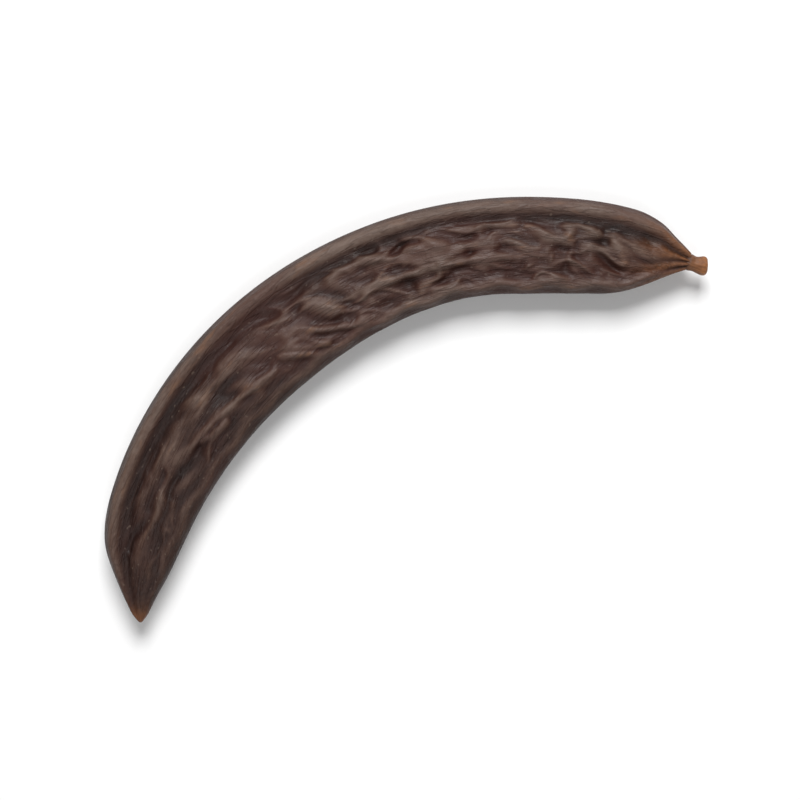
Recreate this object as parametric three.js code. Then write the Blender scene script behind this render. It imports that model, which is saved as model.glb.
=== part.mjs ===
// A dried carob pod with the stub of its stalk, lying on its broad side.
// Millimetres, +Z up. The pod bends round in plan, with its outer edge towards +Y and its stalk at +X.
// The origin is below the middle of its box, on the surface that the pod lies on.
import * as THREE from "three";

// Driving dimensions: the pod's curved line and plain form
const POD_LENGTH = 145; // along the curved line, from the neck to the tip
const BEND_RADIUS = 76; // of that line in plan
const FULL_HALF_WIDTH = 10; // half-width at which the pod has its full thickness
const FACE_THICKNESS = 7.6; // from broad face to broad face there, before the relief
const SQUARENESS = 0.8; // how much fuller than an ellipse the section is
const SQUARENESS_RANGE = [2, 7]; // half-widths between which it grows so, from a round neck
const TIP_ROUNDING = 2.2; // length over which the very tip closes
const TWIST = THREE.MathUtils.degToRad(5); // turn of the broad faces from neck to tip

// The outer and inner edge as [distance from the neck, distance out from the curved line]
const OUTER_EDGE = [
  [0, 2.3], [3.5, 4.2], [7, 6.1], [12, 7.3], [30, 7.8], [60, 9.1],
  [95, 10.5], [122, 10.4], [131, 9.2], [138, 5.4], [145, 1.2],
];
const INNER_EDGE = [
  [0, -0.9], [6.4, -6.1], [11, -8.6], [16, -9.9], [29, -10.7], [45, -10],
  [80, -10.2], [100, -9], [120, -6.8], [134, -4.4], [145, -0.4],
];

// Rims along the two seams, with a groove inside each and a seam line on the edge itself
const OUTER_RIM = {
  inset: 2.1, width: 1.3, height: 1,
  grooveInset: 4.9, grooveWidth: 1.5, grooveDepth: 0.6,
};
const INNER_RIM = {
  inset: 1.9, width: 0.9, height: 0.85,
  grooveInset: 3.7, grooveWidth: 1.1, grooveDepth: 0.3,
};
const RIM_FULL_HALF_WIDTH = 7.5; // where the pod is narrower, the rims draw together
const INNER_RIM_WAVE = 0.3; // how far the inner rim wavers, seed by seed
const INNER_RIM_FADE = 0.6; // how much of the inner rim is lost towards the tip
const INNER_RIM_FADE_RANGE = [60, 90]; // and between which distances from the neck
const SEAM_DEPTH = 0.4;
const SEAM_WIDTH = 0.7;
const SEAM_RANGE = [0.7, 0.95]; // shares of the half-width between which the seam line sinks in
const FACE_FROM_OUTER = [2.8, 6]; // insets between which the broad face begins
const FACE_FROM_INNER = [1.8, 3.6];
const FACE_RANGE = [2, 8]; // half-widths between which the broad face gets its wrinkles

// Seeds that show as low swellings, one behind another
const SEED_FIRST = 19;
const SEED_PITCH = 10.4;
const SEED_COUNT = 11;
const SEED_SWELL = 0.45;
const SEED_SPREAD = [3.6, 4.4]; // along and across

// Net of hollows and ridges in the drying skin, which draws out into streaks towards the tip
const HOLLOW_CELL = [6.6, 3.2]; // along and across, with one hollow to a cell
const HOLLOW_DEPTH = 1;
const HOLLOW_SPREAD = 0.32; // as a share of a cell
const HOLLOW_MEAN = 0.27;
const HOLLOW_JITTER = 0.7; // how far hollows stray in their cells
const HOLLOW_UNEVENNESS = [0.45, 1.2]; // least and most share of the depth
const HOLLOW_SWAY = 0.12;
const RIDGE_CELL = [9, 3];
const RIDGE_HEIGHT = 0.6;
const RIDGE_WIDTH = 0.11; // as a share of the field's own range
const RIDGE_MEAN = 0.3;
const RIDGE_SWAY = 0.1;
const RIDGE_RANGE = [8, 24]; // distances from the neck between which the ridges rise
const NET_FADE = 0.75; // how much of the net is lost towards the tip
const STREAK_CELL = [30, 3.4];
const STREAK_DEPTH = 0.7;
const STREAK_SLOPE = 0.1;
const STREAK_SWAY = 0.5;
const STREAK_RANGE = [62, 100]; // distances from the neck between which the streaks take over
const SLANT_RISE = 10; // how far the rows of hollows and ridges climb outwards
const SLANT_RANGE = [56, 96]; // and between which distances from the neck
const SWAYS = [[0.9, 0.31, 0.5], [0.5, 0.83, -0.9]]; // waves in the rows: height, pace along, pace across
const LEVEL_SWAY = 0.8;
const UPPER_SEED = 3;
const LOWER_SEED = 11;
const STREAK_SEED = 5; // steps on from a face's own seed
const RIDGE_SEED = 30;

// Bold folds of the upper face as [distance from the neck, distance out from the curved line]
const FOLDS = [
  [[17, 1.2], [22, 2.6], [26, 1.6]],
  [[30, 2.6], [43, 3.1], [53, 4.4]],
  [[31, -3.6], [48, -2.9], [66, -2.3]],
  [[15, -8.7], [25, -7.7], [31, -8.8], [43, -8.1], [59, -6.6]],
  [[47, -0.2], [51, 3.4], [55, 4.6]],
  [[57, 1.9], [66, 3.5], [70, 2.8]],
  [[56, -8.9], [70, -6.6], [80, -2.4]],
  [[73, -7.4], [79, -6], [85, -2]],
  [[78, -7.6], [86, -2.9]],
  [[86, -4.9], [93, -3.8], [102, -1.9], [112, -0.3]],
  [[101, -3.9], [109, -1.7]],
];
const FOLD_HEIGHT = 0.85;
const FOLD_WIDTH = 0.85;
const FOLD_SMOOTHING = 0.6; // how much of the other wrinkles is lost under a fold

// Ribs that run out from the stalk over the neck
const NECK_RIBS = 9;
const NECK_RIB_HEIGHT = 0.22;
const NECK_RIB_REACH = 9;

// Low places of the underside that the pod rests on, as [distance from the neck, distance out, swelling]
const REST_SPOTS = [[20, -3, 1.8], [72, 2.5, 1.9], [121, 1.5, 2]];
const REST_SPREAD = [5, 4.5]; // along and across
const REST_SMOOTHING = 0.95; // how much of the wrinkles is lost there
const REST_FLAT_DEPTH = 0.6; // how much of the low places is flat

// Stub of the stalk, as [radius, distance from its seat on the neck] out to the dished scar at its end
const STALK_EDGE = [[1.55, 0], [1.4, 1], [1.78, 2.45], [1.67, 3.15], [1.25, 3.4], [0.7, 3.1]];
const STALK_LENGTH = 3.4;
const STALK_SCAR_DEPTH = 0.45;
const STALK_LEAN = THREE.MathUtils.degToRad(20); // bend towards the outer edge
const SEAT_GAP = 0.3; // between the stalk's seat and the neck

// Fineness of the faceted skin
const STATIONS = 124; // rings along the pod
const RING_CROWDING = 0.62; // how much closer the rings stand at the two ends
const SIDES = 44; // round the pod
const SIDE_CROWDING = 0.2; // how much closer the corners stand on the broad faces
const TIP_LEFT_OPEN = 1e-4; // share of the length by which the last ring stops short of a point
const STALK_SIDES = 28;
const STALK_STEPS = 16;

const HALF_SWEEP = POD_LENGTH / BEND_RADIUS / 2;
const bell = (distance, width) => Math.exp(-((distance / width) ** 2));
const ramp = (value, [from, to]) => THREE.MathUtils.smoothstep(value, from, to);

// Value at a place on a smooth curve through [place, value] points, sloped at each as the chord across it.
function smoothThrough(points, place) {
  const last = points.length - 1;
  let i = 0;
  while (i < last - 1 && place > points[i + 1][0]) i++;
  const slope = (k) => {
    const [from, to] = [points[Math.max(k - 1, 0)], points[Math.min(k + 1, last)]];
    return (to[1] - from[1]) / (to[0] - from[0]);
  };
  const span = points[i + 1][0] - points[i][0];
  const x = (place - points[i][0]) / span;
  const start = points[i][1] * (1 + 2 * x) * (1 - x) ** 2 + points[i + 1][1] * x * x * (3 - 2 * x);
  return start + span * x * (1 - x) * (slope(i) * (1 - x) - slope(i + 1) * x);
}

// Middle and half-width of the pod, out from the curved line, at a distance from the neck.
function outline(along) {
  const outer = smoothThrough(OUTER_EDGE, along);
  const inner = smoothThrough(INNER_EDGE, along);
  const toTip = Math.min(1, (POD_LENGTH - along) / TIP_ROUNDING);
  const closing = Math.sqrt(1 - (1 - toTip) ** 2);
  return { middle: (outer + inner) / 2, halfWidth: ((outer - inner) / 2) * closing };
}

// A repeatable draw between 0 and 1 for one cell of a net.
function draw(i, j, seed) {
  const x = Math.sin(i * 127.1 + j * 311.7 + seed * 74.7) * 43758.5453;
  return x - Math.floor(x);
}

// About 1 in hollows scattered one to a cell, of uneven depth, and near 0 on the ridges between them.
function hollows(p, q, seed) {
  let total = 0;
  for (let i = Math.floor(p) - 1; i <= Math.floor(p) + 1; i++) {
    for (let j = Math.floor(q) - 1; j <= Math.floor(q) + 1; j++) {
      const middleP = i + 0.5 + HOLLOW_JITTER * (draw(i, j, seed) - 0.5);
      const middleQ = j + 0.5 + HOLLOW_JITTER * (draw(i, j, seed + 1) - 0.5);
      const depth = THREE.MathUtils.lerp(...HOLLOW_UNEVENNESS, draw(i, j, seed + 2));
      total += depth * bell(Math.hypot(middleP - p, middleQ - q), HOLLOW_SPREAD);
    }
  }
  return total;
}

// A smooth random field between 0 and 1, drawn at the corners of a net.
function field(p, q, seed) {
  const [i, j] = [Math.floor(p), Math.floor(q)];
  const x = ramp(p - i, [0, 1]);
  const low = THREE.MathUtils.lerp(draw(i, j, seed), draw(i + 1, j, seed), x);
  const high = THREE.MathUtils.lerp(draw(i, j + 1, seed), draw(i + 1, j + 1, seed), x);
  return THREE.MathUtils.lerp(low, high, ramp(q - j, [0, 1]));
}

// 1 on the line of a bold fold, falling to 0 beside it and at its ends.
function foldAt(along, out) {
  let most = 0;
  for (const line of FOLDS) {
    for (let k = 1; k < line.length; k++) {
      const [[s0, u0], [s1, u1]] = [line[k - 1], line[k]];
      const [ds, du] = [s1 - s0, u1 - u0];
      const t = THREE.MathUtils.clamp(((along - s0) * ds + (out - u0) * du) / (ds ** 2 + du ** 2), 0, 1);
      const away = Math.hypot(along - s0 - t * ds, out - u0 - t * du);
      const fromMiddle = (2 * (k - 1 + t)) / (line.length - 1) - 1;
      most = Math.max(most, bell(away, FOLD_WIDTH) * (1 - fromMiddle ** 4));
    }
  }
  return most;
}

// Rim and groove at a distance in from a seam.
function rimAt(inset, rim) {
  const raised = rim.height * bell(inset - rim.inset, rim.width);
  return raised - rim.grooveDepth * bell(inset - rim.grooveInset, rim.grooveWidth);
}

// Wrinkles of a broad face: hollows and ridges by the neck, streaks by the tip, and the bold folds.
function wrinkles(along, out, upper) {
  const seed = upper ? UPPER_SEED : LOWER_SEED;
  let sway = 0;
  for (const [height, pace, paceOut] of SWAYS) sway += height * Math.sin(pace * along + paceOut * out);
  const level = out - SLANT_RISE * ramp(along, SLANT_RANGE) + LEVEL_SWAY * sway;
  const drawnOut = out - STREAK_SLOPE * along + STREAK_SWAY * sway;
  const hollowAlong = along / HOLLOW_CELL[0] + HOLLOW_SWAY * sway;
  const hollow = hollows(hollowAlong, level / HOLLOW_CELL[1], seed) - HOLLOW_MEAN;
  const streak = hollows(along / STREAK_CELL[0], drawnOut / STREAK_CELL[1], seed + STREAK_SEED) - HOLLOW_MEAN;
  const ridgeAlong = along / RIDGE_CELL[0] + RIDGE_SWAY * sway;
  const nearRidge = field(ridgeAlong, level / RIDGE_CELL[1], seed + RIDGE_SEED) - 0.5;
  const ridge = (bell(nearRidge, RIDGE_WIDTH) - RIDGE_MEAN) * ramp(along, RIDGE_RANGE);
  const fold = foldAt(upper ? along : POD_LENGTH - along, out);
  const toTip = ramp(along, STREAK_RANGE);
  const net = (1 - NET_FADE * toTip) * (RIDGE_HEIGHT * ridge - HOLLOW_DEPTH * hollow);
  const unfolded = net - STREAK_DEPTH * toTip * streak;
  return FOLD_HEIGHT * fold + unfolded * (1 - FOLD_SMOOTHING * fold);
}

function seedSwell(along, across) {
  let swell = 0;
  for (let k = 0; k < SEED_COUNT; k++) swell += bell(along - SEED_FIRST - k * SEED_PITCH, SEED_SPREAD[0]);
  return SEED_SWELL * swell * bell(across, SEED_SPREAD[1]);
}

// Wrinkles and seeds of a broad face, smoothed and swollen at the places that the pod rests on.
function faceAt(along, across, up, middle) {
  let [rest, swelling] = [0, 0];
  for (const [s, u, height] of up > 0 ? [] : REST_SPOTS) {
    const here = bell(along - s, REST_SPREAD[0]) * bell(middle + across - u, REST_SPREAD[1]);
    rest += here;
    swelling += height * here;
  }
  const wrinkled = wrinkles(along, middle + across, up > 0) + seedSwell(along, across);
  return wrinkled * (1 - REST_SMOOTHING * rest) + swelling;
}

// Height of the skin over the plain form. across runs from the inner seam, below 0, to the outer seam.
function relief(along, turn, across, up, { middle, halfWidth }) {
  const shrink = Math.min(1, halfWidth / RIM_FULL_HALF_WIDTH);
  const wave = INNER_RIM_WAVE * Math.sin((2 * Math.PI * (along - SEED_FIRST)) / SEED_PITCH);
  const outerInset = (halfWidth - across) / shrink;
  const innerInset = (halfWidth + across) / shrink;
  const innerShare = 1 - INNER_RIM_FADE * ramp(along, INNER_RIM_FADE_RANGE);
  const rims = rimAt(outerInset, OUTER_RIM) + innerShare * rimAt(innerInset + wave, INNER_RIM);
  const seam = SEAM_DEPTH * bell(up, SEAM_WIDTH) * ramp(Math.abs(across) / halfWidth, SEAM_RANGE);
  const body = ramp(halfWidth, FACE_RANGE);
  const onFace = body * ramp(outerInset, FACE_FROM_OUTER) * ramp(innerInset, FACE_FROM_INNER);
  const ribs = NECK_RIB_HEIGHT * Math.cos(NECK_RIBS * turn) * bell(along, NECK_RIB_REACH);
  return shrink * (rims - seam) + onFace * faceAt(along, across, up, middle) + ribs;
}

// A point of the section at a distance from the neck, placed on the curved line with its twist.
function onLine(along, middle, across, up) {
  const roll = TWIST * (0.5 - along / POD_LENGTH);
  const bearing = HALF_SWEEP - along / BEND_RADIUS;
  const out = BEND_RADIUS + middle + across * Math.cos(roll) - up * Math.sin(roll);
  const height = across * Math.sin(roll) + up * Math.cos(roll);
  return new THREE.Vector3(out * Math.sin(bearing), out * Math.cos(bearing), height);
}

// Point of the skin at a distance from the neck and an angle round the section, where 0 is the outer seam.
function skin(along, turn) {
  const section = outline(along);
  const { middle, halfWidth } = section;
  const halfThickness = (FACE_THICKNESS / 2) * Math.sqrt(halfWidth / FULL_HALF_WIDTH);
  const power = 2 + SQUARENESS * ramp(halfWidth, SQUARENESS_RANGE);
  const angle = turn + SIDE_CROWDING * Math.sin(2 * turn);
  const [c, s] = [Math.cos(angle), Math.sin(angle)];
  const x = halfWidth * Math.sign(c) * Math.abs(c) ** (2 / power);
  const z = halfThickness * Math.sign(s) * Math.abs(s) ** (2 / power);
  const nx = (Math.sign(c) * Math.abs(c) ** (2 - 2 / power)) / halfWidth;
  const nz = (Math.sign(s) * Math.abs(s) ** (2 - 2 / power)) / halfThickness;
  const raised = relief(along, turn, x, z, section) / Math.hypot(nx, nz);
  return onLine(along, middle, x + nx * raised, z + nz * raised);
}

// The pod: a capped tube whose rings stand closer at both ends, laid along the curved line.
function podGeometry() {
  const geometry = new THREE.CylinderGeometry(1, 1, 1, SIDES, STATIONS);
  const place = geometry.getAttribute("position");
  for (let i = 0; i < place.count; i++) {
    const step = 0.5 - place.getY(i);
    const share = step - (RING_CROWDING * Math.sin(2 * Math.PI * step)) / (2 * Math.PI);
    const along = POD_LENGTH * Math.min(share, 1 - TIP_LEFT_OPEN);
    const onAxis = place.getX(i) === 0 && place.getZ(i) === 0;
    const turn = Math.atan2(-place.getZ(i), place.getX(i));
    const point = onAxis ? onLine(along, outline(along).middle, 0, 0) : skin(along, turn);
    place.setXYZ(i, point.x, point.y, point.z);
  }
  return geometry;
}

// The stalk's stub: a turned knob with a dished scar, bent over towards its own +X.
function stalkGeometry() {
  const edge = new THREE.SplineCurve(STALK_EDGE.map(([radius, height]) => new THREE.Vector2(radius, height)));
  const foot = new THREE.Vector2(0, 0);
  const scar = new THREE.Vector2(0, STALK_LENGTH - STALK_SCAR_DEPTH);
  const geometry = new THREE.LatheGeometry([foot, ...edge.getPoints(STALK_STEPS), scar], STALK_SIDES);
  const place = geometry.getAttribute("position");
  const bendRadius = STALK_LENGTH / STALK_LEAN;
  for (let i = 0; i < place.count; i++) {
    const angle = place.getY(i) / bendRadius;
    const radius = bendRadius - place.getX(i);
    place.setX(i, bendRadius - radius * Math.cos(angle));
    place.setY(i, radius * Math.sin(angle));
  }
  return geometry;
}

const podMaterial = new THREE.MeshStandardMaterial({ color: 0x4a3630, roughness: 0.5, metalness: 0 });
const stalkMaterial = new THREE.MeshStandardMaterial({ color: 0x9a6238, roughness: 0.65, metalness: 0 });

const pod = new THREE.Mesh(podGeometry(), podMaterial);
pod.name = "pod";

const stalk = new THREE.Mesh(stalkGeometry(), stalkMaterial);
stalk.name = "stalk";
const neck = onLine(0, outline(0).middle, 0, 0);
const outwards = new THREE.Vector3(Math.sin(HALF_SWEEP), Math.cos(HALF_SWEEP), 0);
const away = new THREE.Vector3(Math.cos(HALF_SWEEP), -Math.sin(HALF_SWEEP), 0);
const sideways = new THREE.Vector3().crossVectors(outwards, away);
stalk.position.copy(neck).addScaledVector(away, SEAT_GAP);
stalk.quaternion.setFromRotationMatrix(new THREE.Matrix4().makeBasis(outwards, away, sideways));

// Sets the pod down: its low places become flats on the surface, and its box is centred over the origin.
function setDown(meshes) {
  const low = new THREE.Box3().setFromObject(pod, true).min.z + REST_FLAT_DEPTH;
  const place = pod.geometry.getAttribute("position");
  for (let i = 0; i < place.count; i++) place.setZ(i, Math.max(place.getZ(i), low));
  pod.geometry.computeVertexNormals();
  const group = new THREE.Group().add(...meshes);
  const box = new THREE.Box3().setFromObject(group, true);
  const centre = box.getCenter(new THREE.Vector3());
  group.position.set(-centre.x, -centre.y, -box.min.z);
  return new THREE.Group().add(group);
}

export default setDown([pod, stalk]);
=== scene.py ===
"""Looks of a dried carob pod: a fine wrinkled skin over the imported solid, and the stub of its stalk.

The skin follows the same rule as the solid, in millimetres, with a finer mesh and finer wrinkles.
"""

import math

import bpy
import numpy as np
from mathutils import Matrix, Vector


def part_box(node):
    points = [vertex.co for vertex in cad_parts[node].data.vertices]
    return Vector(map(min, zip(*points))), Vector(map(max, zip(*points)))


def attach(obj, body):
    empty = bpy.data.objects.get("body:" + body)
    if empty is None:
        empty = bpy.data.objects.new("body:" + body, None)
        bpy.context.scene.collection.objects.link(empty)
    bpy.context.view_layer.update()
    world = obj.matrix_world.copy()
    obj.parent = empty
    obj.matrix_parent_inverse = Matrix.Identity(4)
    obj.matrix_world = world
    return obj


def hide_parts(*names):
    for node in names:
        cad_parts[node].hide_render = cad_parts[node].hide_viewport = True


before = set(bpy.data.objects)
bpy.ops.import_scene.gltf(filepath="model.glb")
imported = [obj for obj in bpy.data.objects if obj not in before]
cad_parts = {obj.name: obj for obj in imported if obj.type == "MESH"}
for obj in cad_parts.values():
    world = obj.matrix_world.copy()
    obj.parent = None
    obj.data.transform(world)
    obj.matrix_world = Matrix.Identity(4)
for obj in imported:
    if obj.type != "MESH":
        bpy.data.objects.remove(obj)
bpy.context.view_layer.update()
MM = 0.001

# The pod's line and outline
POD_LENGTH = 145
BEND_RADIUS = 76
HALF_SWEEP = POD_LENGTH / BEND_RADIUS / 2
FACE_THICKNESS = 7.6
SQUARENESS = 0.8
SQUARENESS_RANGE = (2, 7)
TIP_ROUNDING = 2.2
TWIST = math.radians(5)
OUTER_EDGE = [
    (0, 2.3), (3.5, 4.2), (7, 6.1), (12, 7.3), (30, 7.8), (60, 9.1),
    (95, 10.5), (122, 10.4), (131, 9.2), (138, 5.4), (145, 1.2),
]
INNER_EDGE = [
    (0, -0.9), (6.4, -6.1), (11, -8.6), (16, -9.9), (29, -10.7), (45, -10),
    (80, -10.2), (100, -9), (120, -6.8), (134, -4.4), (145, -0.4),
]
FULL_HALF_WIDTH = 10

# Rims along the two seams, with a groove inside each and a seam line on the edge itself
OUTER_RIM = dict(inset=2.1, width=1.3, height=1.0, groove_inset=4.9, groove_width=1.5, groove_depth=0.6)
INNER_RIM = dict(inset=1.9, width=0.9, height=0.85, groove_inset=3.7, groove_width=1.1, groove_depth=0.3)
RIM_FULL_HALF_WIDTH = 7.5
INNER_RIM_WAVE = 0.3
INNER_RIM_FADE = 0.6
INNER_RIM_FADES = (60, 90)
FACE_FROM_OUTER = (2.8, 6)
FACE_FROM_INNER = (1.8, 3.6)
FACE_RANGE = (2, 8)
SEAM_DEPTH = 0.4
SEAM_WIDTH = 0.7
SEAM_RANGE = (0.7, 0.95)

# Seeds that show as low swellings
SEED_FIRST, SEED_PITCH, SEED_COUNT = 19, 10.4, 11
SEED_SWELL = 0.45
SEED_SPREAD = (3.6, 4.4)

# Net of hollows and ridges in the drying skin, which draws out into streaks towards the tip
HOLLOW_CELL = (6.6, 3.2)
HOLLOW_DEPTH = 1.0
HOLLOW_SPREAD = 0.32
HOLLOW_MEAN = 0.27
HOLLOW_JITTER = 0.7
HOLLOW_UNEVENNESS = (0.45, 1.2)
HOLLOW_SWAY = 0.12
RIDGE_CELL = (9, 3)
RIDGE_HEIGHT = 0.6
RIDGE_WIDTH = 0.11
RIDGE_MEAN = 0.3
RIDGE_SWAY = 0.1
RIDGE_RANGE = (8, 24)
NET_FADE = 0.75
STREAK_CELL = (30, 3.4)
STREAK_DEPTH = 0.7
STREAK_SLOPE = 0.1
STREAK_SWAY = 0.5
STREAK_RANGE = (62, 100)
SLANT_RISE = 10
SLANT_RANGE = (56, 96)
SWAYS = [(0.9, 0.31, 0.5), (0.5, 0.83, -0.9)]
LEVEL_SWAY = 0.8
UPPER_SEED, LOWER_SEED = 3, 11
STREAK_SEED, RIDGE_SEED, FINE_SEED, THREAD_SEED = 5, 30, 20, 40
DRAW_PACES = (127.1, 311.7, 74.7)
DRAW_SCATTER = 43758.5453

# Bold folds of the upper face
FOLDS = [
    [(17, 1.2), (22, 2.6), (26, 1.6)],
    [(30, 2.6), (43, 3.1), (53, 4.4)],
    [(31, -3.6), (48, -2.9), (66, -2.3)],
    [(15, -8.7), (25, -7.7), (31, -8.8), (43, -8.1), (59, -6.6)],
    [(47, -0.2), (51, 3.4), (55, 4.6)],
    [(57, 1.9), (66, 3.5), (70, 2.8)],
    [(56, -8.9), (70, -6.6), (80, -2.4)],
    [(73, -7.4), (79, -6), (85, -2)],
    [(78, -7.6), (86, -2.9)],
    [(86, -4.9), (93, -3.8), (102, -1.9), (112, -0.3)],
    [(101, -3.9), (109, -1.7)],
]
FOLD_HEIGHT = 0.85
FOLD_WIDTH = 0.85
FOLD_SMOOTHING = 0.6
FOLD_END_POWER = 4

# Ribs that run out from the stalk over the neck
NECK_RIBS = 9
NECK_RIB_HEIGHT = 0.22
NECK_RIB_REACH = 9

# Low places of the underside that the pod rests on: along, out, swelling
REST_SPOTS = [(20, -3, 1.8), (72, 2.5, 1.9), (121, 1.5, 2.0)]
REST_SPREAD = (5, 4.5)
REST_SMOOTHING = 0.95
REST_FLAT_DEPTH = 0.6

# Finer hollows and ridges that only the drawn skin has
FINE_CELL = (3.4, 1.5)
FINE_DEPTH = 0.22
FINE_SWAY = 0.3
FINE_TIP_SHARE = 0.5
THREAD_CELL = (11, 2.0)
THREAD_HEIGHT = 0.3
THREAD_WIDTH = 0.14
THREAD_MEAN = 0.35
THREAD_SWAY = 0.3
THREAD_TIP_SHARE = 0.6

# Stub of the stalk: its edge as (distance from the seat, radius), from inside the neck to the scar
STALK_LENGTH = 3.4
STALK_LEAN = math.radians(20)
STALK_WAIST_RADIUS = 1.4
STALK_EDGE = [
    (-0.9, 1.35), (0, 1.55), (0.9, 1.42), (1.7, 1.58), (2.4, 1.78), (2.95, 1.78),
    (3.25, 1.55), (3.4, 1.25), (3.28, 0.88), (3.08, 0.5), (2.97, 0.12),
]
STALK_RIBS = 7
STALK_RIB_HEIGHT = 0.05
STALK_RIB_TURN = 0.6
STALK_FINE_RIBS = 2.3 * STALK_RIBS
STALK_FINE_RIB_SHARE = 0.6
STALK_SMOOTH_RADIUS = 0.4
SEAT_GAP = 0.3

# Fineness of the drawn pieces
STATIONS = 520
SIDES = 176
RING_CROWDING = 0.62
SIDE_CROWDING = 0.2
TIP_LEFT_OPEN = 1e-4
STALK_RINGS = 90
STALK_SIDES = 96

# Colours of the skin from hollows to crests, and of its markings; the dark stops hold painted shade in the
# hollows along with their red-brown, and the top stop a painted greyish sheen on the crests
SKIN_AND_PAINTED_SHADE_COLOURS = [
    (0.0, (0.010, 0.0036, 0.0026)), (0.3, (0.024, 0.0094, 0.0064)), (0.55, (0.045, 0.0215, 0.0148)),
    (0.8, (0.080, 0.0475, 0.0355)), (1.0, (0.122, 0.084, 0.067)),
]
WARM_COLOUR = (0.20, 0.076, 0.027, 1)
BLUSH_COLOUR = (0.050, 0.015, 0.0105, 1)
SCUFF_COLOUR = (0.155, 0.075, 0.040, 1)
SPECK_COLOUR = (0.15, 0.11, 0.085, 1)
LINE_COLOUR = (0.012, 0.005, 0.004, 1)

# How the relief tones the skin per mm as painted shade in hollows and painted highlight on crests, how much
# darker it is towards the tip, and how warm at both ends
PAINTED_SHADE_GAIN = 0.4
NARROW_PAINTED_SHADE_GAIN = 1.15
PAINTED_SHADE_REACH = 0.42
EVENING_PASSES = 40
TIP_DARKENING, TIP_DARKENING_RANGE = 0.14, (72, 100)
WARM_NECK, WARM_NECK_RIBS, WARM_NECK_REACH = 0.45, 0.35, 7.5
WARM_TIP, WARM_TIP_REACH = 0.8, 2.4

# Sizes of the markings in mm, along the pod, across it and through it
PATCH_SIZE = (20, 8, 8)
BLUSH_SIZE = (26, 9, 9)
MOTTLE_SIZE = (3.3, 1.8, 1.8)
FIBRE_SIZE = (9, 0.65, 0.65)
GRAIN_SIZE = (1.2, 0.5, 0.5)
LINE_SIZE = (8, 1.1, 1.1)
SCUFF_SIZE = (7, 2.2, 2.2)
SPECK_SIZE = (0.8, 0.6, 0.6)
PORE_SIZE = (0.6, 0.4, 0.4)

# How much each marking lightens and darkens the skin
PATCH_SHARE = 0.32
MOTTLE_SHARE = 0.28
FIBRE_SHARE = 0.3
GRAIN_SHARE = 0.34

# Where each marking begins and is full in its own noise, or in the relief's painted shade and highlight, and
# its most
BLUSH_RANGE, BLUSH_MOST = (0.42, 0.66), 0.45
LINE_WIDTH, LINE_MOST = 0.06, 0.2
CREST_RANGE = (0.55, 0.95)
SCUFF_RANGE, SCUFF_MOST = (0.55, 0.7), 0.5
WARM_GRAIN_RANGE, WARM_GRAIN_LEAST = (0.3, 0.65), 0.6
SPECK_RANGE, SPECK_MOST = (0.74, 0.86), 0.3

# Finish of the skin, with the depths of its finest relief in mm
ROUGHNESS_RANGE = (0.3, 0.7)
SKIN_ROUGHNESS = (0.44, 0.62)
SKIN_SPECULAR = 0.26
PORE_BUMP = 0.09
FIBRE_BUMP = 0.12
LINE_BUMP = 0.05

# Colours of the stub, from its root over the pale ring to the scar, with its fibres along it
STALK_COLOURS = [
    (0.0, (0.080, 0.030, 0.012)), (0.2, (0.18, 0.070, 0.022)), (0.5, (0.31, 0.122, 0.034)),
    (0.66, (0.40, 0.185, 0.068)), (0.78, (0.15, 0.050, 0.018)), (1.0, (0.080, 0.026, 0.012)),
]
STALK_SHADES = [(0.32, (0.42, 0.34, 0.28)), (0.66, (1.1, 1.08, 1.05))]
WOOD_FIBRE_SIZE, WOOD_FIBRE_SHARE = (0.4, 2, 0.4), 0.5
WOOD_BLOTCH_SIZE, WOOD_BLOTCH_SHARE = (1.4, 1.4, 1.4), 0.5
WOOD_BUMP = 0.12
STALK_ROUGHNESS = (0.55, 0.75)

# Camera and floor, in metres
AIM = Vector((0.0006, -0.0106, 0.005))
CAMERA_DISTANCE = 0.36
CAMERA_LENS = 85
CAMERA_ROLL = math.radians(33.3)
FLOOR_SIZE = 4
FLOOR_COLOUR = (0.85, 0.85, 0.85, 1)
FLOOR_ROUGHNESS = 0.8

# Lights: which way each lies, towards the top of the picture and above, then its distance and size in metres
KEY_LIGHT = dict(picture_up=0.9, above=1.1, distance=0.7, size=0.35, watts=6.1)
FILL_LIGHT = dict(picture_up=-0.7, above=1.0, distance=0.9, size=0.6, watts=2.9)
WORLD_COLOUR = (1, 1, 1, 1)
WORLD_STRENGTH = 0.18


def bell(distance, width):
    return np.exp(-((distance / width) ** 2))


def ramp(value, start, end):
    x = np.clip((value - start) / (end - start), 0, 1)
    return x * x * (3 - 2 * x)


def smooth_through(points, place):
    """Value at a place on a smooth curve through points, sloped at each point as the chord across it."""
    places, values = np.array(points, float).T
    last = len(places) - 1
    after = np.minimum(np.arange(last + 1) + 1, last)
    before = np.maximum(np.arange(last + 1) - 1, 0)
    slopes = (values[after] - values[before]) / (places[after] - places[before])
    i = np.clip(np.searchsorted(places, place, side="left") - 1, 0, last - 1)
    span = places[i + 1] - places[i]
    x = (place - places[i]) / span
    start = values[i] * (1 + 2 * x) * (1 - x) ** 2 + values[i + 1] * x * x * (3 - 2 * x)
    return start + span * x * (1 - x) * (slopes[i] * (1 - x) - slopes[i + 1] * x)


def outline(along):
    """Middle and half-width of the pod, out from the curved line."""
    outer = smooth_through(OUTER_EDGE, along)
    inner = smooth_through(INNER_EDGE, along)
    to_tip = np.minimum(1, (POD_LENGTH - along) / TIP_ROUNDING)
    closing = np.sqrt(1 - (1 - to_tip) ** 2)
    return (outer + inner) / 2, (outer - inner) / 2 * closing


def draw(i, j, seed):
    """A repeatable draw between 0 and 1 for one cell of a net."""
    x = np.sin(i * DRAW_PACES[0] + j * DRAW_PACES[1] + seed * DRAW_PACES[2]) * DRAW_SCATTER
    return x - np.floor(x)


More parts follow.
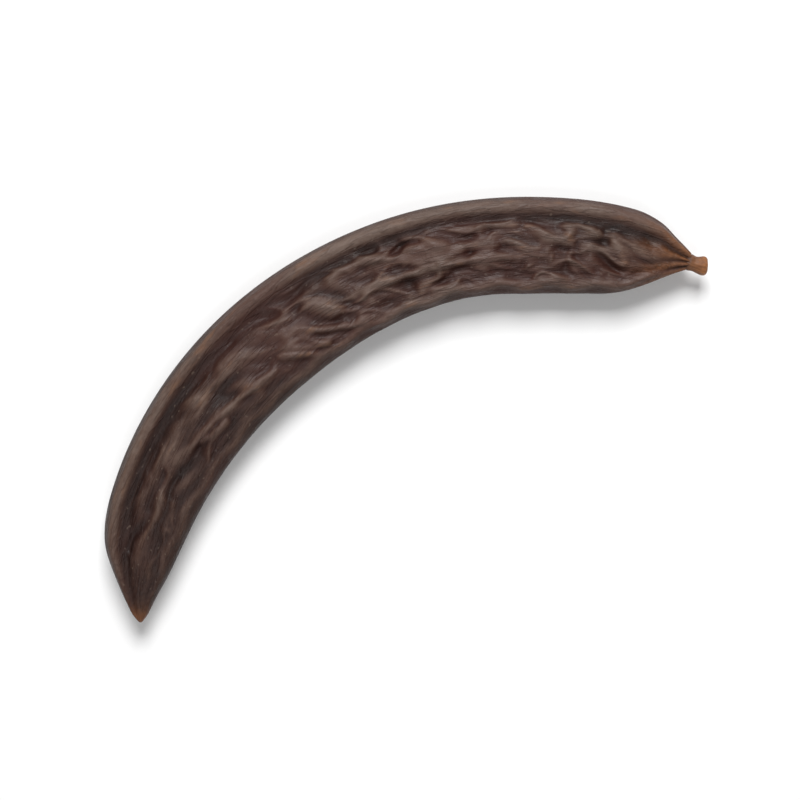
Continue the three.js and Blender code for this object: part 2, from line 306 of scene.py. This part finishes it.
def hollows(p, q, seed):
    """About 1 in hollows scattered one to a cell, of uneven depth, and near 0 on the ridges between them."""
    total = np.zeros(np.shape(p))
    least, most = HOLLOW_UNEVENNESS
    for di in (-1, 0, 1):
        for dj in (-1, 0, 1):
            i, j = np.floor(p) + di, np.floor(q) + dj
            middle_p = i + 0.5 + HOLLOW_JITTER * (draw(i, j, seed) - 0.5)
            middle_q = j + 0.5 + HOLLOW_JITTER * (draw(i, j, seed + 1) - 0.5)
            depth = least + (most - least) * draw(i, j, seed + 2)
            total += depth * bell(np.hypot(middle_p - p, middle_q - q), HOLLOW_SPREAD)
    return total


def noise(p, q, seed):
    """A smooth random field between 0 and 1, drawn at the corners of a net."""
    i, j = np.floor(p), np.floor(q)
    x, y = ramp(p - i, 0, 1), ramp(q - j, 0, 1)
    low = draw(i, j, seed) * (1 - x) + draw(i + 1, j, seed) * x
    high = draw(i, j + 1, seed) * (1 - x) + draw(i + 1, j + 1, seed) * x
    return low * (1 - y) + high * y


def fold_at(along, out):
    """1 on the line of a bold fold, falling to 0 beside it and at its ends."""
    most = np.zeros(np.shape(along))
    for line in FOLDS:
        for k, ((s0, u0), (s1, u1)) in enumerate(zip(line, line[1:])):
            share = ((along - s0) * (s1 - s0) + (out - u0) * (u1 - u0)) / ((s1 - s0) ** 2 + (u1 - u0) ** 2)
            t = np.clip(share, 0, 1)
            away = np.hypot(along - s0 - t * (s1 - s0), out - u0 - t * (u1 - u0))
            from_middle = 2 * (k + t) / (len(line) - 1) - 1
            most = np.maximum(most, bell(away, FOLD_WIDTH) * (1 - from_middle ** FOLD_END_POWER))
    return most


def rim_at(inset, rim):
    """Height of a rim and its groove at a distance in from the pod's edge."""
    raised = rim["height"] * bell(inset - rim["inset"], rim["width"])
    return raised - rim["groove_depth"] * bell(inset - rim["groove_inset"], rim["groove_width"])


def wrinkles(along, out, upper):
    """Hollows and ridges by the neck, streaks by the tip, the bold folds, and finer relief all over."""
    seed = np.where(upper, UPPER_SEED, LOWER_SEED)
    sway = sum(height * np.sin(pace * along + pace_out * out) for height, pace, pace_out in SWAYS)
    level = out - SLANT_RISE * ramp(along, *SLANT_RANGE) + LEVEL_SWAY * sway
    drawn_out = out - STREAK_SLOPE * along + STREAK_SWAY * sway
    hollow_along = along / HOLLOW_CELL[0] + HOLLOW_SWAY * sway
    hollow = hollows(hollow_along, level / HOLLOW_CELL[1], seed) - HOLLOW_MEAN
    streak = hollows(along / STREAK_CELL[0], drawn_out / STREAK_CELL[1], seed + STREAK_SEED) - HOLLOW_MEAN
    ridge_along = along / RIDGE_CELL[0] + RIDGE_SWAY * sway
    near_ridge = noise(ridge_along, level / RIDGE_CELL[1], seed + RIDGE_SEED) - 0.5
    ridge = (bell(near_ridge, RIDGE_WIDTH) - RIDGE_MEAN) * ramp(along, *RIDGE_RANGE)
    fold = fold_at(np.where(upper, along, POD_LENGTH - along), out)
    to_tip = ramp(along, *STREAK_RANGE)
    net = (1 - NET_FADE * to_tip) * (RIDGE_HEIGHT * ridge - HOLLOW_DEPTH * hollow)
    unfolded = net - STREAK_DEPTH * to_tip * streak
    fine_along = along / FINE_CELL[0] + FINE_SWAY * sway
    fine = FINE_DEPTH * (hollows(fine_along, level / FINE_CELL[1], seed + FINE_SEED) - HOLLOW_MEAN)
    thread_along = along / THREAD_CELL[0] + THREAD_SWAY * sway
    near_thread = noise(thread_along, level / THREAD_CELL[1], seed + THREAD_SEED) - 0.5
    thread = THREAD_HEIGHT * (bell(near_thread, THREAD_WIDTH) - THREAD_MEAN)
    detail = thread * (1 - (1 - THREAD_TIP_SHARE) * to_tip) - fine * (1 - (1 - FINE_TIP_SHARE) * to_tip)
    return FOLD_HEIGHT * fold + unfolded * (1 - FOLD_SMOOTHING * fold) + detail


def seed_swell(along, across):
    """Height of the swellings over the row of seeds."""
    swell = sum(bell(along - SEED_FIRST - k * SEED_PITCH, SEED_SPREAD[0]) for k in range(SEED_COUNT))
    return SEED_SWELL * swell * bell(across, SEED_SPREAD[1])


def rest_at(along, out, upper):
    """Share and height of the swelling that the pod rests on."""
    rest, swelling = 0, 0
    for s, u, height in REST_SPOTS:
        here = np.where(upper, 0, bell(along - s, REST_SPREAD[0]) * bell(out - u, REST_SPREAD[1]))
        rest, swelling = rest + here, swelling + height * here
    return rest, swelling


def relief(along, turn, across, up, middle, half_width):
    """Height of the skin over the pod's plain form, without and with the swellings that it rests on."""
    shrink = np.minimum(1, half_width / RIM_FULL_HALF_WIDTH)
    wave = INNER_RIM_WAVE * np.sin(2 * np.pi * (along - SEED_FIRST) / SEED_PITCH)
    outer_inset = (half_width - across) / shrink
    inner_inset = (half_width + across) / shrink
    inner_share = 1 - INNER_RIM_FADE * ramp(along, *INNER_RIM_FADES)
    rims = rim_at(outer_inset, OUTER_RIM) + inner_share * rim_at(inner_inset + wave, INNER_RIM)
    seam = SEAM_DEPTH * bell(up, SEAM_WIDTH) * ramp(np.abs(across) / half_width, *SEAM_RANGE)
    on_face = ramp(outer_inset, *FACE_FROM_OUTER) * ramp(inner_inset, *FACE_FROM_INNER)
    on_face = on_face * ramp(half_width, *FACE_RANGE)
    rest, swelling = rest_at(along, middle + across, up > 0)
    wrinkled = wrinkles(along, middle + across, up > 0) + seed_swell(along, across)
    ribs = NECK_RIB_HEIGHT * np.cos(NECK_RIBS * turn) * bell(along, NECK_RIB_REACH)
    plain = shrink * (rims - seam) + on_face * wrinkled * (1 - REST_SMOOTHING * rest) + ribs
    return plain, plain + on_face * swelling


def on_line(along, middle, across, up):
    """Points of the bent and twisted pod, from places along its line, across it and up."""
    roll = TWIST * (0.5 - along / POD_LENGTH)
    bearing = HALF_SWEEP - along / BEND_RADIUS
    out = BEND_RADIUS + middle + across * np.cos(roll) - up * np.sin(roll)
    height = across * np.sin(roll) + up * np.cos(roll)
    return np.stack([out * np.sin(bearing), out * np.cos(bearing), height], -1)


def skin(along, turn):
    """Points of the skin, their unbent places, the height of their relief and their warmth."""
    middle, half_width = outline(along)
    half_thickness = FACE_THICKNESS / 2 * np.sqrt(half_width / FULL_HALF_WIDTH)
    power = 2 + SQUARENESS * ramp(half_width, *SQUARENESS_RANGE)
    angle = turn + SIDE_CROWDING * np.sin(2 * turn)
    c, s = np.cos(angle), np.sin(angle)
    x = half_width * np.sign(c) * np.abs(c) ** (2 / power)
    z = half_thickness * np.sign(s) * np.abs(s) ** (2 / power)
    nx = np.sign(c) * np.abs(c) ** (2 - 2 / power) / half_width
    nz = np.sign(s) * np.abs(s) ** (2 - 2 / power) / half_thickness
    plain, raised = relief(along, turn, x, z, middle, half_width)
    raised = raised / np.hypot(nx, nz)
    points = on_line(along, middle, x + nx * raised, z + nz * raised)
    place = np.stack([along, middle + x, z], -1)
    neck = bell(along, WARM_NECK_REACH) * (WARM_NECK + WARM_NECK_RIBS * np.cos(NECK_RIBS * turn))
    tip = WARM_TIP * bell(along - POD_LENGTH, WARM_TIP_REACH)
    return points, place, plain, np.clip(neck + tip, 0, 1)


def evened(values):
    """Values of a tube of rings, evened out along it and round it."""
    for _ in range(EVENING_PASSES):
        values = (np.roll(values, 1, 1) + 2 * values + np.roll(values, -1, 1)) / 4
        padded = np.pad(values, ((1, 1), (0, 0)), "edge")
        values = (padded[:-2] + 2 * values + padded[2:]) / 4
    return values


def tone_of(plain, along):
    """Painted shade and highlight of the skin from its relief: low in hollows and high on crests, narrow
    ones most of all, and lower by the tip.
    """
    narrow = plain - evened(plain)
    tip = ramp(along, *TIP_DARKENING_RANGE)
    # Painted shade and highlight: the relief's height and its narrow crests and hollows, lower towards the
    # tip
    tone = PAINTED_SHADE_GAIN * plain + NARROW_PAINTED_SHADE_GAIN * narrow - TIP_DARKENING * tip
    return 0.5 + PAINTED_SHADE_REACH * np.tanh(tone / PAINTED_SHADE_REACH)


def tube_faces(rings, sides):
    """Faces of a tube of rings, closed at both ends by fans round the two last points."""
    i, j = np.meshgrid(np.arange(rings - 1), np.arange(sides), indexing="ij")
    here = i * sides + j
    beside = i * sides + (j + 1) % sides
    walls = np.stack([here, beside, beside + sides, here + sides], -1).reshape(-1, 4)
    ring = np.arange(sides)
    after = (ring + 1) % sides
    last = (rings - 1) * sides
    first_fan = np.stack([after, ring, np.full(sides, rings * sides)], -1)
    last_fan = np.stack([last + ring, last + after, np.full(sides, rings * sides + 1)], -1)
    return walls.tolist() + first_fan.tolist() + last_fan.tolist()


def add_piece(name, points, faces, material, node, slot, **attributes):
    """A smooth mesh that takes the place of a solid, with values at its points for the material to read."""
    mesh = bpy.data.meshes.new(name)
    mesh.from_pydata(points.tolist(), [], faces)
    for title, values in attributes.items():
        kind, field = ("FLOAT_VECTOR", "vector") if values.ndim == 2 else ("FLOAT", "value")
        mesh.attributes.new(title, kind, "POINT").data.foreach_set(field, values.astype(np.float32).ravel())
    mesh.shade_smooth()
    mesh.materials.append(material)
    piece = bpy.data.objects.new(name, mesh)
    bpy.context.scene.collection.objects.link(piece)
    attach(piece, "root")
    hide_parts(node)


def pod_points():
    """Points of the pod's skin in rings, with the unbent place, painted relief shade and warmth of each."""
    step = np.linspace(0, 1, STATIONS + 1)
    share = step - RING_CROWDING * np.sin(2 * np.pi * step) / (2 * np.pi)
    along = POD_LENGTH * np.minimum(share, 1 - TIP_LEFT_OPEN)
    turn = np.arange(SIDES) * 2 * np.pi / SIDES
    s, t = np.meshgrid(along, turn, indexing="ij")
    points, place, plain, warmth = skin(s, t)
    # Painted shade and highlight of the relief, kept at each point for the material
    tone = tone_of(plain, s)
    ends = along[[0, -1]]
    caps = on_line(ends, outline(ends)[0], np.zeros(2), np.zeros(2))
    points = np.concatenate([points.reshape(-1, 3), caps])
    points[:, 2] = np.maximum(points[:, 2], points[:, 2].min() + REST_FLAT_DEPTH)
    place = np.concatenate([place.reshape(-1, 3), place[[0, -1], 0]])
    tone = np.concatenate([tone.ravel(), tone[[0, -1], 0]])
    warmth = np.concatenate([warmth.ravel(), warmth[[0, -1], 0]])
    return points, place, tone, warmth


def stalk_points():
    """Points of the stub in rings, bent towards the outer edge, with each ring's place from root to scar."""
    heights, radii = np.array(STALK_EDGE).T
    step = np.linspace(0, len(STALK_EDGE) - 1, STALK_RINGS)
    knots = np.arange(len(STALK_EDGE))
    height = smooth_through(list(zip(knots, heights)), step)
    radius = smooth_through(list(zip(knots, radii)), step)
    turn = np.arange(STALK_SIDES) * 2 * np.pi / STALK_SIDES
    h, t = np.meshgrid(height, turn, indexing="ij")
    r = np.meshgrid(radius, turn, indexing="ij")[0]
    fine_ribs = STALK_FINE_RIB_SHARE * np.cos(STALK_FINE_RIBS * t - h)
    ribs = np.cos(STALK_RIBS * t + STALK_RIB_TURN * h) + fine_ribs
    r = r + STALK_RIB_HEIGHT * ribs * ramp(r, STALK_SMOOTH_RADIUS, STALK_WAIST_RADIUS)
    local = np.stack([r * np.cos(t), h, -r * np.sin(t)], -1).reshape(-1, 3)
    ends = np.array([[0, height[0], 0], [0, height[-1], 0]])
    local = np.concatenate([local, ends])
    bend_radius = STALK_LENGTH / STALK_LEAN
    angle = local[:, 1] / bend_radius
    from_centre = bend_radius - local[:, 0]
    out = bend_radius - from_centre * np.cos(angle)
    away = from_centre * np.sin(angle) + SEAT_GAP
    outwards = np.array([math.sin(HALF_SWEEP), math.cos(HALF_SWEEP), 0])
    along_stalk = np.array([math.cos(HALF_SWEEP), -math.sin(HALF_SWEEP), 0])
    neck = on_line(0.0, outline(np.zeros(1))[0][0], 0.0, 0.0)
    upwards = np.array([0, 0, 1])
    points = neck + out[:, None] * outwards + away[:, None] * along_stalk - local[:, 2:] * upwards
    ring = np.concatenate([np.repeat(step, STALK_SIDES), step[[0, -1]]]) / step[-1]
    return points, local, ring


class Shader:
    """A material's node tree, built up node by node."""

    def __init__(self, name):
        self.material = bpy.data.materials.new(name)
        self.material.use_nodes = True
        self.tree = self.material.node_tree
        self.surface = self.tree.nodes["Principled BSDF"]

    def add(self, kind, output=0, inputs=(), **settings):
        """A new node, with settings and with inputs that are numbers, colours or other nodes' sockets."""
        made = self.tree.nodes.new("ShaderNode" + kind)
        for title, value in settings.items():
            setattr(made, title, value)
        for title, value in dict(inputs).items():
            self.put(made.inputs[title], value)
        return made.outputs[output]

    def put(self, socket, value):
        if isinstance(value, bpy.types.NodeSocket):
            self.tree.links.new(value, socket)
        else:
            socket.default_value = value

    def attribute(self, title, output="Fac"):
        return self.add("Attribute", output, attribute_name=title)

    def sum(self, a, b, scale=1.0):
        """a times a scale, plus b."""
        return self.add("Math", inputs={0: a, 1: scale, 2: b}, operation="MULTIPLY_ADD")

    def noise(self, place, size, detail=3.0, roughness=0.55):
        """Noise that runs from about 0 to 1, in features of a size in mm along each axis."""
        vector = self.add("VectorMath", inputs={0: place, 1: size}, operation="DIVIDE")
        settings = {"Vector": vector, "Scale": 1.0, "Detail": detail, "Roughness": roughness}
        return self.add("TexNoise", inputs=settings)

    def ramp(self, value, stops):
        """Colours between stops of (place, colour)."""
        made = self.add("ValToRGB", inputs={"Fac": value})
        elements = made.node.color_ramp.elements
        while len(elements) < len(stops):
            elements.new(1.0)
        for element, (place, colour) in zip(elements, stops):
            element.position = place
            element.color = (*colour, 1)
        return made

    def spread(self, value, low, high, to_low=0.0, to_high=1.0):
        """A value's range from low to high, drawn out smoothly over another range."""
        limits = {"Value": value, "From Min": low, "From Max": high, "To Min": to_low, "To Max": to_high}
        return self.add("MapRange", inputs=limits, interpolation_type="SMOOTHSTEP")

    def tint(self, share, base, tint, blend="MIX"):
        made = self.add("Mix", 2, data_type="RGBA", blend_type=blend)
        for title, value in (("Factor_Float", share), ("A_Color", base), ("B_Color", tint)):
            self.put(next(s for s in made.node.inputs if s.identifier == title), value)
        return made

    def bump(self, height, depth, under=None):
        """Normals of a relief of a depth in mm."""
        inputs = {"Height": height, "Distance": depth * MM}
        if under is not None:
            inputs["Normal"] = under
        return self.add("Bump", inputs=inputs)

    def finish(self, **sockets):
        for title, value in sockets.items():
            self.put(self.surface.inputs[title.replace("_", " ")], value)
        return self.material


def pod_skin():
    """Dark brown dried skin: paler crests and red-brown hollows, partly painted highlight and painted shade
    from the relief, fine lengthwise lines, warm at both ends.
    """
    shader = Shader("pod_skin")
    place = shader.attribute("place", "Vector")
    # Painted shade and highlight of the relief, read from the mesh
    relief_tone = shader.attribute("tone")
    patches = shader.noise(place, PATCH_SIZE, detail=2.0)
    mottle = shader.noise(place, MOTTLE_SIZE, detail=4.0)
    fibres = shader.noise(place, FIBRE_SIZE, detail=3.0)
    grain = shader.noise(place, GRAIN_SIZE, detail=4.0)
    tone = relief_tone
    shares = ((patches, PATCH_SHARE), (mottle, MOTTLE_SHARE), (fibres, FIBRE_SHARE), (grain, GRAIN_SHARE))
    for marking, share in shares:
        tone = shader.sum(shader.sum(marking, -0.5), tone, share)
    # Hollows darkened with painted shade and crests lightened with a painted sheen, mixed with the skin's
    # own markings
    colour = shader.ramp(tone, SKIN_AND_PAINTED_SHADE_COLOURS)
    blush = shader.spread(shader.noise(place, BLUSH_SIZE, detail=2.0), *BLUSH_RANGE, 0.0, BLUSH_MOST)
    colour = shader.tint(blush, colour, BLUSH_COLOUR)
    from_line = shader.sum(shader.noise(place, LINE_SIZE, detail=2.0), -0.5)
    from_line = shader.add("Math", inputs={0: from_line}, operation="ABSOLUTE")
    colour = shader.tint(shader.spread(from_line, 0.0, LINE_WIDTH, LINE_MOST, 0.0), colour, LINE_COLOUR)
    crest = shader.spread(relief_tone, *CREST_RANGE)
    scuffs = shader.spread(shader.noise(place, SCUFF_SIZE, detail=3.0), *SCUFF_RANGE, 0.0, SCUFF_MOST)
    colour = shader.tint(shader.sum(scuffs, 0.0, crest), colour, SCUFF_COLOUR)
    worn = shader.spread(grain, *WARM_GRAIN_RANGE, WARM_GRAIN_LEAST, 1.0)
    colour = shader.tint(shader.sum(shader.attribute("warmth"), 0.0, worn), colour, WARM_COLOUR)
    specks = shader.spread(shader.noise(place, SPECK_SIZE, detail=0.0), *SPECK_RANGE, 0.0, SPECK_MOST)
    colour = shader.tint(specks, colour, SPECK_COLOUR)
    roughness = shader.spread(mottle, *ROUGHNESS_RANGE, *SKIN_ROUGHNESS)
    normal = shader.bump(shader.noise(place, PORE_SIZE, detail=5.0), PORE_BUMP)
    normal = shader.bump(fibres, FIBRE_BUMP, normal)
    normal = shader.bump(shader.spread(from_line, 0.0, LINE_WIDTH), LINE_BUMP, normal)
    return shader.finish(
        Base_Color=colour, Roughness=roughness, Normal=normal, Specular_IOR_Level=SKIN_SPECULAR,
    )


def stalk_wood():
    """Orange-brown woody stub, with a paler ring round its darker scar."""
    shader = Shader("stalk_wood")
    place = shader.attribute("place", "Vector")
    fibres = shader.noise(place, WOOD_FIBRE_SIZE, detail=4.0)
    blotches = shader.noise(place, WOOD_BLOTCH_SIZE)
    colour = shader.ramp(shader.attribute("ring"), STALK_COLOURS)
    grain = shader.sum(fibres, shader.sum(blotches, 0.0, WOOD_BLOTCH_SHARE), WOOD_FIBRE_SHARE)
    shade = shader.ramp(grain, STALK_SHADES)
    colour = shader.tint(1.0, colour, shade, "MULTIPLY")
    roughness = shader.spread(fibres, *ROUGHNESS_RANGE, *STALK_ROUGHNESS)
    return shader.finish(Base_Color=colour, Roughness=roughness, Normal=shader.bump(fibres, WOOD_BUMP))


def floor_paint():
    shader = Shader("floor")
    return shader.finish(Base_Color=FLOOR_COLOUR, Roughness=FLOOR_ROUGHNESS)


def add_floor():
    bpy.ops.mesh.primitive_plane_add(size=FLOOR_SIZE)
    floor = bpy.context.object
    floor.data.materials.append(floor_paint())


def add_camera():
    """A camera that looks straight down, turned so that the pod lies as in the photograph."""
    camera = bpy.data.objects.new("camera", bpy.data.cameras.new("camera"))
    camera.data.lens = CAMERA_LENS
    camera.location = AIM + Vector((0, 0, CAMERA_DISTANCE))
    camera.rotation_euler = (0, 0, -CAMERA_ROLL)
    bpy.context.scene.collection.objects.link(camera)
    bpy.context.scene.camera = camera


def add_light(name, picture_up, above, distance, size, watts):
    """A soft square light that shines on the pod."""
    lamp = bpy.data.lights.new(name, "AREA")
    lamp.size = size
    lamp.energy = watts
    direction = Vector((picture_up * math.sin(CAMERA_ROLL), picture_up * math.cos(CAMERA_ROLL), above))
    direction.normalize()
    light = bpy.data.objects.new(name, lamp)
    light.location = AIM + distance * direction
    light.rotation_euler = direction.to_track_quat("Z", "Y").to_euler()
    bpy.context.scene.collection.objects.link(light)


def add_world():
    """An even white light from all round."""
    world = bpy.data.worlds.new("world")
    world.use_nodes = True
    background = world.node_tree.nodes["Background"]
    background.inputs["Color"].default_value = WORLD_COLOUR
    background.inputs["Strength"].default_value = WORLD_STRENGTH
    bpy.context.scene.world = world


# The pieces, moved from the curved line's own place to where the solids lie
points, place, tone, warmth = pod_points()
low, high = np.array(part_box("pod")) / MM
shift = (low + high) / 2 - (points.min(0) + points.max(0)) / 2
shift[2] = low[2] - points[:, 2].min()
add_piece(
    "carob_pod", (points + shift) * MM, tube_faces(STATIONS + 1, SIDES), pod_skin(),
    "pod", "pod_skin", place=place, tone=tone, warmth=warmth,
)
points, place, ring = stalk_points()
add_piece(
    "stalk_stub", (points + shift) * MM, tube_faces(STALK_RINGS, STALK_SIDES), stalk_wood(),
    "stalk", "stalk_wood", place=place, ring=ring,
)

# Floor, camera and lights
add_floor()
add_camera()
add_light("key", **KEY_LIGHT)
add_light("fill", **FILL_LIGHT)
add_world()
bpy.context.scene.view_settings.view_transform = "Standard"
